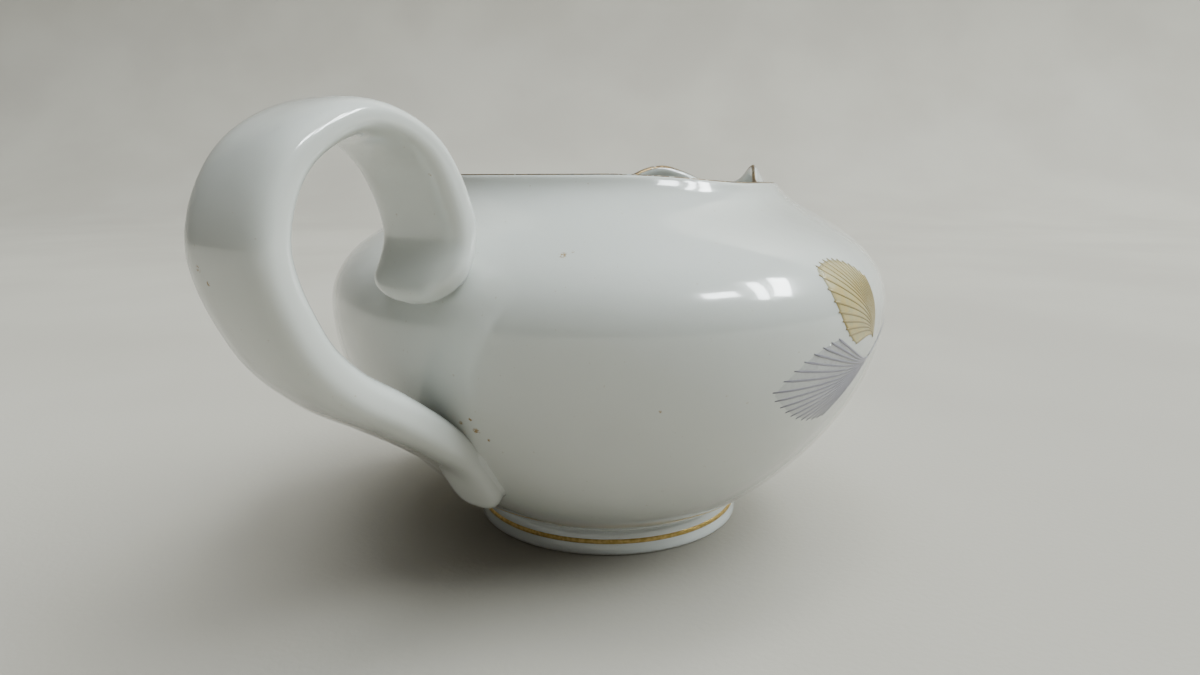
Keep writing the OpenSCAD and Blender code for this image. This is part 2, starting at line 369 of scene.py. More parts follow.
class Value:
    """A number, point or colour that varies over a surface, with arithmetic."""

    def __init__(self, graph: Graph, socket: bpy.types.NodeSocket) -> None:
        """Wraps an output socket.

        Args:
            graph: the tree that it belongs to.
            socket: the output.
        """
        self.graph = graph
        self.socket = socket

    def _math(self, operation: str, *values: Number) -> "Value":
        """Adds one Math node.

        Args:
            operation: what the node does.
            *values: its numbers or links, in order.

        Returns:
            The node's result.
        """
        made = self.graph.node("Math", dict(enumerate(values)), operation=operation)
        return Value(self.graph, made.outputs[0])

    def __add__(self, other: Number) -> "Value":
        """Adds a number on the right."""
        return self._math("ADD", self, other)

    def __radd__(self, other: Number) -> "Value":
        """Adds a number on the left."""
        return self._math("ADD", other, self)

    def __sub__(self, other: Number) -> "Value":
        """Takes a number away."""
        return self._math("SUBTRACT", self, other)

    def __rsub__(self, other: Number) -> "Value":
        """Takes this from a number."""
        return self._math("SUBTRACT", other, self)

    def __mul__(self, other: Number) -> "Value":
        """Multiplies by a number on the right."""
        return self._math("MULTIPLY", self, other)

    def __rmul__(self, other: Number) -> "Value":
        """Multiplies by a number on the left."""
        return self._math("MULTIPLY", other, self)

    def above(self, other: Number) -> "Value":
        """Returns:
            The larger of the two.
        """
        return self._math("MAXIMUM", self, other)

    def ramp(self, start: float, end: float) -> "Value":
        """Turns the number into a smooth step.

        Args:
            start: the value where the step is 0.
            end: the value where it is 1, which may be lower than start.

        Returns:
            A number from 0 to 1.
        """
        low, high = min(start, end), max(start, end)
        rises = end >= start
        made = self.graph.node(
            "MapRange",
            {"Value": self, "From Min": low, "From Max": high,
             "To Min": 0.0 if rises else 1.0, "To Max": 1.0 if rises else 0.0},
            interpolation_type="SMOOTHSTEP")
        return Value(self.graph, made.outputs["Result"])

    def part(self, axis: str) -> "Value":
        """Takes one coordinate.

        Args:
            axis: X, Y or Z.

        Returns:
            That coordinate.
        """
        made = self.graph.node("SeparateXYZ", {0: self})
        return Value(self.graph, made.outputs[axis])


# ---- finishes ----


@dataclass(frozen=True)
class Speck:
    """A small brown fleck in the glaze."""

    x: float
    y: float
    z: float
    radius: float

    def middle(self) -> Vector:
        """Returns:
            The fleck's middle, in metres.
        """
        return Vector((self.x, self.y, self.z)) * MM


@dataclass(frozen=True)
class GlazeFinish:
    """Clear glaze over white porcelain, with a bare resting edge."""

    name: str = "glazed_porcelain"
    white: Colour = (0.615, 0.632, 0.603)
    deep: Colour = (0.582, 0.598, 0.568)
    bare: Colour = (0.62, 0.59, 0.53)
    fleck: Colour = (0.30, 0.20, 0.08)
    bare_height: float = 0.5
    flecks: tuple[Speck, ...] = ()

    def build(self) -> bpy.types.Material:
        """Returns:
            The porcelain's material.
        """
        g = Graph(self.name)
        where = g.place()
        cloud = g.noise(where, 38, 3.0)
        colour = g.blend(cloud.ramp(0.3, 0.7), self.white, self.deep)
        grain = g.noise(where, 2600, 2.0)
        dust = g.noise(where, 1500, 1.0).ramp(0.765, 0.79) * 0.3
        for speck in self.flecks:
            torn = grain.ramp(0.40, 0.55)
            dust = dust.above(g.spot(where, speck.middle(), speck.radius * MM) * torn)
        colour = g.blend(dust, colour, self.fleck)
        bare = where.part("Z").ramp((self.bare_height + 0.15) * MM, (self.bare_height - 0.15) * MM)
        colour = g.blend(bare, colour, g.blend(grain, self.bare, self.white))
        relief = g.noise(where, 75, 1.0) * 0.8 + g.noise(where, 420, 1.0) * 0.2
        return g.surface(
            Base_Color=colour,
            Roughness=0.16 + bare * 0.6 + grain * 0.03,
            IOR=1.5,
            Specular_IOR_Level=0.5,
            Coat_Weight=1.0 - bare,
            Coat_Roughness=0.035,
            Coat_IOR=1.52,
            Subsurface_Weight=0.12,
            Subsurface_Radius=(0.004, 0.0036, 0.003),
            Subsurface_Scale=1.0,
            Normal=g.bump(relief, 0.35, 0.0004),
        )


@dataclass(frozen=True)
class GildingFinish:
    """Thin burnished gold, rubbed through to the glaze in places."""

    name: str
    gold: Colour = (0.62, 0.42, 0.12)
    dark: Colour = (0.33, 0.20, 0.07)
    glaze: Colour = (0.60, 0.635, 0.615)
    wear: float = 0.5

    def build(self) -> bpy.types.Material:
        """Returns:
            The gilding's material.
        """
        g = Graph(self.name)
        where = g.place()
        patches = g.noise(where, 260, 4.0)
        brushed = g.noise(where, 1500, 3.0)
        worn = (patches * 0.7 + brushed * 0.3).ramp(0.66 - 0.2 * self.wear, 0.72 - 0.2 * self.wear)
        colour = g.blend(brushed.ramp(0.35, 0.65), self.dark, self.gold)
        return g.surface(
            Base_Color=g.blend(worn, colour, self.glaze),
            Metallic=0.85 - worn * 0.85,
            Roughness=0.32 + brushed * 0.2,
            Normal=g.bump(brushed, 0.25, 0.00004),
        )


@dataclass(frozen=True)
class EnamelFinish:
    """Painted on-glaze colour, uneven in strength along each stroke."""

    name: str
    light: Colour
    strong: Colour
    metallic: float = 0.0
    cover: float = 1.0
    feet: tuple[tuple[float, float, float], ...] = ()
    reach: float = 24.0
    tip_cover: float = 0.15

    def build(self) -> bpy.types.Material:
        """Returns:
            The paint's material.
        """
        g = Graph(self.name)
        where = g.place()
        strokes = g.noise(where, 900, 3.0)
        cloud = g.noise(where, 160, 2.0)
        load = (strokes * 0.55 + cloud * 0.45).ramp(0.38, 0.62)
        cover: Number = self.cover
        if self.feet:
            near: Number = 0.0
            for foot in self.feet:
                near = g.spot(where, Vector(foot) * MM, self.reach * MM).above(near)
            cover = near * (self.cover - self.tip_cover) + self.tip_cover
        return g.surface(
            Base_Color=g.blend(load, self.light, self.strong),
            Metallic=self.metallic,
            Roughness=0.30 + strokes * 0.15,
            Coat_Weight=0.5,
            Coat_Roughness=0.08,
            Alpha=(0.75 + load * 0.25) * cover,
            Normal=g.bump(strokes, 0.2, 0.00003),
        )


@dataclass(frozen=True)
class FloorFinish:
    """A plain pale matt sweep."""

    light: Colour = (0.40, 0.375, 0.33)
    shade: Colour = (0.365, 0.34, 0.298)

    def build(self) -> bpy.types.Material:
        """Returns:
            The floor's material.
        """
        g = Graph("studio_sweep")
        where = g.place()
        cloud = g.noise(where, 6, 3.0)
        grain = g.noise(where, 900, 2.0)
        return g.surface(
            Base_Color=g.blend(cloud.ramp(0.3, 0.7), self.light, self.shade),
            Roughness=0.9,
            Specular_IOR_Level=0.2,
            Normal=g.bump(grain, 0.15, 0.0004),
        )


@dataclass
class Finishes:
    """Every material of the scene, each made once."""

    glaze: bpy.types.Material
    # the foot ring's glaze: a brighter copy of the porcelain, painted light where the belly shades
    # the foot
    foot_glaze: bpy.types.Material
    rim_gold: bpy.types.Material
    foot_gold: bpy.types.Material
    gold_paint: bpy.types.Material
    gold_wash: bpy.types.Material
    grey_paint: bpy.types.Material
    grey_wash: bpy.types.Material
    floor: bpy.types.Material


# ---- the body ----


class Wall(Enum):
    """The stretches that the body's section is made of, from under the foot round to the floor."""

    UNDERSIDE = 4
    OUTER_LOWER = 30
    OUTER_UPPER = 40
    CROWN = 12
    INNER_UPPER = 34
    INNER_LOWER = 24
    FLOOR = 6


@dataclass(frozen=True)
class BodySize:
    """Sizes of the body, in millimetres and degrees."""

    belly_r: float = 50.0
    belly_z: float = 42.0
    mouth_r: float = 29.0
    rim_z: float = 64.3
    side_dip: float = 1.5
    belly_wall: float = 2.7
    rim_wall: float = 2.0
    bottom_wall: float = 3.4
    lip_pull: float = 14.0
    lip_half_angle: float = 31.0
    throat_pull: float = 9.0
    throat_half_angle: float = 90.0
    shoulder_rise: float = 3.6
    shoulder_angle: float = 15.5
    shoulder_outer_angle: float = 15.0
    shoulder_inner_angle: float = 10.5
    tip_dip: float = 2.0
    tip_angle: float = 10.0
    dip_start: float = 90.0
    dip_angle: float = 60.0
    neck_r: float = 24.2
    foot_h: float = 4.2
    foot_flare: float = 7.7
    foot_flare_rise: float = 4.3
    belly_run_below: float = 18.5
    belly_run_above: float = 13.5
    belly_run_less: float = 4.0
    rim_lean: float = 2.2
    rim_depth: float = 7.7
    lip_lean: float = 1.56
    lip_lean_less: float = 0.8
    lip_lift: float = 10.4
    lip_lift_less: float = 0.69
    floor_start: float = 0.14


class BodyShape:
    """The body's surface as a function of the angle round the jug and a place along its section."""

    def __init__(self, size: BodySize) -> None:
        """Keeps the sizes.

        Args:
            size: the body's sizes.
        """
        self.size = size

    def pull(self, turn: float) -> float:
        """Gives how far the rim is pulled out.

        Args:
            turn: degrees from the spout.

        Returns:
            Millimetres past the round mouth.
        """
        s = self.size
        return (s.lip_pull * bell(turn, s.lip_half_angle)
                + s.throat_pull * bell(turn, s.throat_half_angle))

    def rim_height(self, turn: float) -> float:
        """Gives the height of the rim.

        Args:
            turn: degrees from the spout.

        Returns:
            Height in millimetres.
        """
        s = self.size
        past = abs(turn) - s.shoulder_angle
        reach = s.shoulder_inner_angle if past < 0 else s.shoulder_outer_angle
        return (s.rim_z - s.side_dip * bell(max(abs(turn) - s.dip_start, 0), s.dip_angle)
                + s.shoulder_rise * bell(past, reach) - s.tip_dip * bell(turn, s.tip_angle))

    def lower(self) -> Bezier:
        """Returns:
            The outside from the foot to the belly.
        """
        s = self.size
        return Bezier((s.neck_r, s.foot_h),
                      (s.neck_r + s.foot_flare, s.foot_h + s.foot_flare_rise),
                      (s.belly_r, s.belly_z - s.belly_run_below),
                      (s.belly_r, s.belly_z))

    def upper(self, turn: float) -> Bezier:
        """Gives the outside from the belly to the rim.

        Args:
            turn: degrees from the spout.

        Returns:
            The curve at that angle.
        """
        s = self.size
        pull = self.pull(turn)
        share = pull / (s.lip_pull + s.throat_pull)
        top = self.rim_height(turn)
        return Bezier((s.belly_r, s.belly_z),
                      (s.belly_r, s.belly_z + s.belly_run_above - s.belly_run_less * share),
                      (s.mouth_r + s.rim_lean + pull * (s.lip_lean - s.lip_lean_less * share),
                       top - s.rim_depth + s.lip_lift * share * (1 - s.lip_lift_less * share)),
                      (s.mouth_r + pull, top - s.rim_wall / 2))

    def crown(self, turn: float, angle: float, lift: float = 0.0) -> Vector:
        """Gives a point on the rounded rim.

        Args:
            turn: degrees from the spout.
            angle: degrees over the rim, from 0 outside to 180 inside.
            lift: how far outside the porcelain the point is.

        Returns:
            Radius and height.
        """
        curve = self.upper(turn)
        way = curve.way(1)
        side = Vector((way.y, -way.x))
        half = self.size.rim_wall / 2
        middle = curve.at(1) - half * side
        a = math.radians(angle)
        return middle + (half + lift) * (math.cos(a) * side + math.sin(a) * way)

    def section(self, turn: float, wall: Wall, t: float) -> Vector:
        """Gives a point of the section.

        Args:
            turn: degrees from the spout.
            wall: the stretch.
            t: place along the stretch, from 0 to 1.

        Returns:
            Radius and height.
        """
        s = self.size
        if wall is Wall.UNDERSIDE:
            return Vector((s.neck_r * t, s.foot_h))
        if wall is Wall.OUTER_LOWER:
            return self.lower().at(t)
        if wall is Wall.OUTER_UPPER:
            return self.upper(turn).at(t)
        if wall is Wall.CROWN:
            return self.crown(turn, 180 * t)
        if wall is Wall.INNER_UPPER:
            return self.upper(turn).inset(1 - t, mix(s.rim_wall, s.belly_wall, t))
        low = self.lower()
        if wall is Wall.INNER_LOWER:
            return low.inset(mix(1, s.floor_start, t), s.belly_wall)
        edge = low.inset(s.floor_start, s.belly_wall)
        return Vector((edge.x * (1 - t), mix(edge.y, s.foot_h + s.bottom_wall, 1 - (1 - t) ** 2)))


class Body:
    """The glazed bowl with its rim and spout."""

    sides = 360
    belly_band = (33.0, 51.0)
    belly_band_r = 44.0
    smoothings = 3
    outside_r = 90.0

    def __init__(self, shape: BodyShape) -> None:
        """Builds the mesh.

        Args:
            shape: the body's surface.
        """
        self.shape = shape
        walls = [(w, i / w.value) for w in Wall for i in range(1, w.value + 1)]
        self.stations = [(Wall.UNDERSIDE, 0.0)] + walls
        self.mesh = MeshTools.tube(len(self.stations) - 1, self.sides, self._place)
        low, high = (h * MM for h in self.belly_band)
        band = [v for v in self.mesh.verts
                if low < v.co.z < high and v.co.xy.length > self.belly_band_r * MM]
        for _ in range(self.smoothings):
            bmesh.ops.smooth_vert(self.mesh, verts=band, factor=0.5, use_axis_x=True,
                                  use_axis_y=True, use_axis_z=True)
        self.tree = BVHTree.FromBMesh(self.mesh)

    def _place(self, angle: float, station: float) -> Vector:
        """Places a vertex of the body.

        Args:
            angle: radians round the axis from the spout.
            station: which of the profile's stations.

        Returns:
            The point, in metres.
        """
        wall, t = self.stations[int(round(station))]
        p = self.shape.section(math.degrees(angle), wall, t)
        return Vector((p.x * math.cos(angle), p.x * math.sin(angle), p.y)) * MM

    def skin(self, turn: float, height: float, lift: float) -> Vector:
        """Finds a point on the outside.

        Args:
            turn: degrees from the spout.
            height: height in millimetres.
            lift: millimetres outside the surface.

        Returns:
            The point, in metres.
        """
        a = math.radians(turn)
        outwards = Vector((math.cos(a), math.sin(a), 0))
        start = outwards * self.outside_r * MM + Vector((0, 0, height * MM))
        hit, normal, _, _ = self.tree.ray_cast(start, -outwards)
        if normal.dot(outwards) < 0:
            normal = -normal
        return hit + normal * lift * MM

    def build(self, material: bpy.types.Material) -> bpy.types.Object:
        """Makes the object.

        Args:
            material: the glaze.

        Returns:
            The body.
        """
        return MeshTools.finish("jug_body", self.mesh.copy(), material)


@dataclass(frozen=True)
class FootSize:
    """Sizes of the foot ring, in millimetres.

    The hollow's wall is a list of how far it leans in from the hollow's radius and at
    what height. Seat is how far the ring reaches up into the body.
    """

    foot_r: float = 25.0
    foot_h: float = 4.2
    neck_r: float = 24.2
    hollow_r: float = 20.8
    edge: float = 0.6
    seat: float = 0.6
    seat_inset: float = 0.3
    hollow_wall: tuple[Point2, ...] = ((0.15, 2.8), (0.5, 1.4), (1.0, 0.7), (1.6, 0.22), (2.0, 0.0))
    edge_angles: tuple[float, ...] = (18, 36, 54, 72, 88)
    slope_heights: tuple[float, ...] = (1.2, 2.0, 2.8, 3.5)

    def outer_r(self, z: float) -> float:
        """Gives the radius of the outer slope.

        Args:
            z: height in millimetres.

        Returns:
            Radius in millimetres.
        """
        share = (z - self.edge) / (self.foot_h - self.edge)
        return self.foot_r + (self.neck_r - self.foot_r) * share


class Foot:
    """The turned foot ring and its gold line."""

    sides = 256
    line_softness = 0.15

    def __init__(self, size: FootSize) -> None:
        """Keeps the sizes.

        Args:
            size: the ring's sizes.
        """
        self.size = size

    def _spun(self, outline: Sequence[Point2]) -> bmesh.types.BMesh:
        """Spins a closed outline round the jug's axis.

        Args:
            outline: radius and height of each corner, in millimetres.

        Returns:
            The closed ring, facing outwards.
        """
        bm = bmesh.new()
        points = [bm.verts.new((r * MM, 0.0, z * MM)) for r, z in outline]
        edges = [bm.edges.new(pair) for pair in zip(points, points[1:] + points[:1])]
        bmesh.ops.spin(bm, geom=points + edges, cent=(0, 0, 0), axis=(0, 0, 1),
                       angle=2 * math.pi, steps=self.sides, use_merge=True)
        bmesh.ops.recalc_face_normals(bm, faces=bm.faces[:])
        return bm

    def build(self, material: bpy.types.Material) -> bpy.types.Object:
        """Makes the ring.

        Args:
            material: the glaze.

        Returns:
            The ring.
        """
        s = self.size
        top = s.foot_h + s.seat
        outline = [(s.hollow_r, top), (s.hollow_r, s.foot_h)]
        outline += [(s.hollow_r + lean, z) for lean, z in s.hollow_wall]
        outline += [(s.foot_r - s.edge, 0.0)]
        outline += [(s.foot_r - s.edge + s.edge * math.sin(a), s.edge - s.edge * math.cos(a))
                    for a in map(math.radians, s.edge_angles)]
        outline += [(s.outer_r(z), z) for z in (*s.slope_heights, s.foot_h)]
        outline += [(s.neck_r - s.seat_inset, top)]
        return MeshTools.finish("foot_ring_glazed", self._spun(outline), material)

    def line(self, middle: float, width: float, film: float,
             material: bpy.types.Material) -> bpy.types.Object:
        """Makes the gold line.

        Args:
            middle: height of the line's middle, in millimetres.
            width: its width, in millimetres.
            film: its thickness, in millimetres.
            material: the gilding.

        Returns:
            The line.
        """
        s = self.size
        low, high = middle - width / 2, middle + width / 2
        soft = width * self.line_softness
        outline = [(s.outer_r(low) - film, low), (s.outer_r(low), low),
                   (s.outer_r(low + soft) + film, low + soft),
                   (s.outer_r(high - soft) + film, high - soft),
                   (s.outer_r(high), high), (s.outer_r(high) - film, high)]
        return MeshTools.finish("foot_gold_line", self._spun(outline), material)


# ---- the handle ----


Knot = tuple[float, float, float, float]


@dataclass(frozen=True)
class StrapSize:
    """Sizes of the strap, in millimetres.

    Each knot holds the reach from the axis, the height, half of the thickness and half
    of the width, from the lower end to the upper end.
    """

    knots: tuple[Knot, ...] = (
        (36.6, 12.4, 2.2, 4.8),
        (42.0, 20.8, 2.4, 5.2),
        (49.3, 27.3, 2.9, 5.6),
        (57.8, 33.2, 3.2, 6.2),
        (66.2, 38.7, 3.3, 6.7),
        (72.2, 45.4, 3.3, 7.2),
        (76.0, 55.9, 3.2, 7.4),
        (72.7, 65.2, 2.8, 7.4),
        (64.8, 70.3, 2.5, 7.8),
        (57.3, 70.0, 2.4, 7.8),
        (50.7, 65.4, 2.8, 7.8),
        (46.8, 55.8, 3.0, 7.8),
        (51.2, 46.8, 1.9, 7.7),
    )
    square: float = 2.8
    lower_rounding: float = 5.0
    upper_left_rounding: float = 3.5
    upper_right_rounding: float = 6.5
    ease: float = 1.3


class StrapShape:
    """The strap's surface as a function of the angle round it and a place along it."""

    def __init__(self, size: StrapSize) -> None:
        """Keeps the sizes.

        Args:
            size: the strap's sizes.
        """
        self.size = size
        knots = [Vector(k) for k in size.knots]
        self.spans = len(knots) - 1
        self.knots = [2 * knots[0] - knots[1], *knots, 2 * knots[-1] - knots[-2]]
        self.start, self.end = knots[0].xy, knots[-1].xy

    def at(self, s: float) -> Vector:
        """Gives the centre line.

        Args:
            s: place along the strap, from 0 to the number of spans.

        Returns:
            Reach, height, half thickness and half width.
        """
        i = min(int(s), self.spans - 1)
        u = s - i
        a, b, c, d = self.knots[i:i + 4]
        return 0.5 * (2 * b + (c - a) * u + (2 * a - 5 * b + 4 * c - d) * u * u
                      + (3 * b - a - 3 * c + d) * u ** 3)

    def way(self, s: float) -> Vector:
        """Gives the centre line's direction.

        Args:
            s: place along the strap.

        Returns:
            A unit vector of reach and height.
        """
        step = 0.02
        return (self.at(min(s + step, self.spans)).xy - self.at(max(s - step, 0)).xy).normalized()

    def point(self, s: float, angle: float) -> Vector:
        """Gives a point of the surface.

        Args:
            s: place along the strap.
            angle: radians round the section, from 0 on the finger hole's side.

        Returns:
            The point, in millimetres.
        """
        z = self.size
        p, way = self.at(s), self.way(s)
        side = Vector((-way.y, way.x))
        gap = max(min((p.xy - self.start).length, (p.xy - self.end).length), 0.0)
        radius = z.lower_rounding
        if s > self.spans / 2:
            radius = z.upper_left_rounding if math.sin(angle) > 0 else z.upper_right_rounding
        width = p.w * self._rounding(gap, radius)
        deep = p.z * self._rounding(gap, p.z * z.ease)
        q = p.xy + side * deep * self._power(math.cos(angle))
        return Vector((-q.x, width * self._power(math.sin(angle)), q.y))

    def _power(self, x: float) -> float:
        """Squares up a cosine or sine of the section."""
        return math.copysign(abs(x) ** (2 / self.size.square), x)

    @staticmethod
    def _rounding(distance: float, radius: float) -> float:
        """Gives the share of a full size that is left near a rounded end.

        Args:
            distance: how far the end is.
            radius: the end's radius.

        Returns:
            From 0 at the end to 1 from the radius on.
        """
        return 1.0 if distance >= radius else math.sqrt(max(1 - (1 - distance / radius) ** 2, 0.0))


@dataclass(frozen=True)
class Fillet:
    """How the luting slip flares from the strap onto the body."""

    name: str
    start: float
    end: float
    start_radius: float
    end_radius: float
    sink: float = 0.04


class Handle:
    """The strap and the luting slip at its two ends."""

    rings = 260
    sides = 64
    slip_rings = 90
    slip_sides = 96
    slip_smoothings = 2
    bunching = 0.6

    def __init__(self, shape: StrapShape, body: Body) -> None:
        """Keeps the shapes.

        Args:
            shape: the strap's surface.
            body: the body that the strap joins.
        """
        self.shape = shape
        self.body = body

    def build(self, material: bpy.types.Material) -> bpy.types.Object:
        """Makes the strap.

        Args:
            material: the glaze.

        Returns:
            The strap.
        """
        def place(angle: float, station: float) -> Vector:
            """Places a vertex, with closer rings towards the ends.

            Args:
                angle: the angle round the strap, in radians.
                station: the ring's number.

            Returns:
                The vertex, in metres.
            """
            share = (1 - math.cos(math.pi * station / self.rings)) / 2
            share = mix(station / self.rings, share, self.bunching)
            return self.shape.point(self.shape.spans * share, angle) * MM

        bm = MeshTools.tube(self.rings, self.sides, place)
        return MeshTools.finish("strap_handle", bm, material)

    def slip(self, fillet: Fillet, material: bpy.types.Material) -> bpy.types.Object:
        """Makes the luting slip at one end.

        Args:
            fillet: where it is and how far it spreads.
            material: the glaze.

        Returns:
            The slip: a skin that lies just under the strap's surface and flares out
            over the last few millimetres before the body.
        """
        def place(angle: float, station: float) -> Vector:
            """Places a vertex on the strap's own surface."""
            s = mix(fillet.start, fillet.end, station / self.slip_rings)
            return self.shape.point(s, angle) * MM

        bm = MeshTools.tube(self.slip_rings, self.slip_sides, place)
        bmesh.ops.holes_fill(bm, edges=[e for e in bm.edges if e.is_boundary])
        bmesh.ops.recalc_face_normals(bm, faces=bm.faces[:])
        bm.normal_update()
        moves = []
        for v in bm.verts:
            share = self._share(v.co, fillet)
            radius = mix(fillet.start_radius, fillet.end_radius, share) * MM
            left = max(radius - max(self._gap(v.co), 0.0), 0.0)
            rise = radius - math.sqrt(radius ** 2 - left ** 2)
            ends = bell(1 - min(5 * share, 5 - 5 * share, 1), 1)
            moves.append(v.normal * (rise * ends - fillet.sink * MM))
        for v, move in zip(bm.verts, moves):
            v.co += move
        for _ in range(self.slip_smoothings):
            bmesh.ops.smooth_vert(bm, verts=bm.verts[:], factor=0.5, use_axis_x=True,
                                  use_axis_y=True, use_axis_z=True)
        return MeshTools.finish(fillet.name, bm, material)

    def _gap(self, point: Vector) -> float:
        """Gives a point's distance from the body, below 0 inside its wall."""
        hit, normal, _, gap = self.body.tree.find_nearest(point)
        return gap if (point - hit).dot(normal) > 0 else -gap

    def _share(self, point: Vector, fillet: Fillet) -> float:
        """Finds how far along a fillet a point is.

        Args:
            point: the point, in metres.
            fillet: the fillet.

        Returns:
            0 at the fillet's start, 1 at its end.
        """
        first, last = self.shape.at(fillet.start).xy, self.shape.at(fillet.end).xy
        line = last - first
        away = Vector((-point.x, point.z)) / MM - first
        return min(max(away.dot(line) / line.length_squared, 0.0), 1.0)


# ---- the painted fans ----


class Side(Enum):
    """The jug's two sides: the number turns one into the other."""

    RIGHT = -1
    LEFT = 1


@dataclass(frozen=True)
class FanSize:
    """Sizes of one fan, in millimetres and degrees."""

    name: str
    turn_from_spout: float
    foot_z: float
    edge: float
    opens: int
    longest: float
    first_angle: float
    last_angle: float
    peak_angle: float
    fall_before: float
    fall_after: float
    strokes: int
    bow: float
    start: float = 0.06
    tip_width: float = 0.36
    foot_width: float = 0.17
    stem: Optional[Point2] = None

    def length(self, angle: float) -> float:
        """Gives a stroke's length.

        Args:
            angle: degrees from the fan's dense edge.

        Returns:
            Length in millimetres.
        """
        past = angle - self.peak_angle
        fall = -past * self.fall_before if past < 0 else past * self.fall_after
        return self.longest * (1 - fall)

    def path(self, angle: float, u: float) -> Vector:
        """Gives a point along a bowed stroke, on the flat.

        Args:
            angle: degrees from the fan's dense edge.
            u: place along the stroke, from 0 to 1.

        Returns:
            Millimetres across and up from the fan's foot.
        """
        length = self.length(angle)
        edge = math.radians(self.edge)
        tip_way = math.radians(self.edge + self.opens * angle)
        tip = Vector((math.cos(tip_way), math.sin(tip_way))) * length
        knee = Vector((math.cos(edge), math.sin(edge))) * self.bow * length
        return 2 * (1 - u) * u * knee + u * u * tip


class Fan:
    """One painted fan: thin strokes over a pale wash."""

    stroke_rows = 22
    stroke_columns = 3
    wash_rows = 26
    wash_columns_per_stroke = 4
    wash_end = 0.985
    wash_lift = 0.015
    wash_film = 0.03
    stroke_lift = 0.035
    stroke_film = 0.05
    crown = 0.01
    tip_start = 0.96
    tip_reach = 0.045
    tip_least = 0.02
    stem_width = 0.22
    stem_arch = 0.8

    def __init__(self, size: FanSize, side: Side, body: Body) -> None:
        """Keeps the sizes.

        Args:
            size: the fan's sizes.
            side: which side of the jug it is on.
            body: the body that it is painted on.
        """
        self.size = size
        self.side = side
        self.body = body

    @property
    def name(self) -> str:
        """The CAD node that this fan stands for."""
        return f"{self.side.name.lower()}_{self.size.name}"

    def _on_jug(self, p: Vector, lift: float) -> Vector:
        """Lays a flat point of the fan on the jug.

        Args:
            p: millimetres across and up from the fan's foot.
            lift: millimetres above the glaze.

        Returns:
            The point, in metres.
        """
        s = self.size
        turn = s.turn_from_spout - math.degrees(p.x / self.body.shape.size.belly_r)
        return self.body.skin(self.side.value * turn, s.foot_z + p.y, lift)

    def _brush(self, path: Callable[[float], Vector], foot_width: float,
               tip_width: float) -> bmesh.types.BMesh:
        """Makes one brush stroke.

        Args:
            path: the stroke's middle as a function of 0 to 1.
            foot_width: its width where it starts, in millimetres.
            tip_width: its width near the tip.

        Returns:
            The stroke, as a thin sheet with a crown and a round tip.
        """
        def place(across: float, along: float) -> Vector:
            """Places a vertex on the stroke.

            Args:
                across: how far across the stroke it is, 0 to 1.
                along: how far along the stroke it is, 0 to 1.

            Returns:
                The vertex, on the jug's wall.
            """
            p = path(along)
            way = (path(min(along + 0.01, 1.0)) - path(max(along - 0.01, 0.0))).normalized()
            width = mix(foot_width, tip_width, along ** 0.7)
            past = max((along - self.tip_start) / self.tip_reach, 0.0)
            width *= math.sqrt(max(1 - past ** 2, self.tip_least))
            crest = 1 - (2 * across - 1) ** 2
            p += Vector((-way.y, way.x)) * width * (across - 0.5)
            return self._on_jug(p, self.stroke_lift + self.crown * crest)

        return MeshTools.sheet(self.stroke_columns, self.stroke_rows, place,
                               self.stroke_film * MM)

    def strokes(self, material: bpy.types.Material) -> bpy.types.Object:
        """Makes the strokes.

        Args:
            material: the stroke's paint.

        Returns:
            One piece with every stroke of the fan, and its stem where it has one.
        """
        s = self.size
        angles = [mix(s.first_angle, s.last_angle, i / (s.strokes - 1))
                  for i in range(s.strokes)]
        parts = [self._brush(lambda t, a=a: s.path(a, mix(s.start, 1.0, t)),
                             s.foot_width, s.tip_width) for a in angles]
        if s.stem:
            end = Vector(s.stem)
            arch = Vector((0.0, self.stem_arch))
            parts.append(self._brush(lambda t: end * t + arch * bell(t - 0.5, 0.5),
                                     self.stem_width, self.stem_width))
        return MeshTools.finish(self.name + "_strokes", MeshTools.join(parts), material)

    def wash(self, material: bpy.types.Material) -> bpy.types.Object:
        """Makes the pale wash under the strokes.

        Args:
            material: the wash's paint.

        Returns:
            A thin sheet of the fan's outline.
        """
        s = self.size

        def place(across: float, along: float) -> Vector:
            """Places a vertex between the first and last stroke."""
            angle = mix(s.first_angle, s.last_angle, across)
            return self._on_jug(s.path(angle, mix(s.start, self.wash_end, along)), self.wash_lift)

        bm = MeshTools.sheet(self.wash_columns_per_stroke * s.strokes, self.wash_rows, place,
                             self.wash_film * MM)
        return MeshTools.finish(self.name + "_wash", bm, material)


# ---- the rim's gilding ----


class RimLine:
    """The thin line of gilding along the top of the rim."""

    sides = 360
    spans = 8
    over = (48.0, 112.0)

    def __init__(self, shape: BodyShape, film: float = 0.06) -> None:
        """Keeps the sizes.

        Args:
            shape: the body's surface.
            film: the gilding's thickness, in millimetres.
        """
        self.shape = shape
        self.film = film

    def build(self, material: bpy.types.Material) -> bpy.types.Object:
        """Makes the line.

        Args:
            material: the gilding.

        Returns:
            The line, closed round the rim.
        """
        last = 2 * self.spans

        def place(angle: float, station: float) -> Vector:
            """Places a vertex: out over the rim on top, and back underneath.

            Args:
                angle: the angle round the jug, in radians.
                station: the row's number.

            Returns:
                The vertex, in metres.
            """
            out = station <= self.spans
            share = station / self.spans if out else (last - station) / self.spans
            over = mix(*self.over, share)
            lift = self.film if out else -self.film
            p = self.shape.crown(math.degrees(angle), over, lift)
            return Vector((p.x * math.cos(angle), p.x * math.sin(angle), p.y)) * MM

        bm = MeshTools.tube(last, self.sides, place)
        rims = [e for e in bm.edges if e.is_boundary]
        bmesh.ops.bridge_loops(bm, edges=rims)
        bmesh.ops.recalc_face_normals(bm, faces=bm.faces[:])
        return MeshTools.finish("rim_gold_line", bm, material)


# ---- studio ----


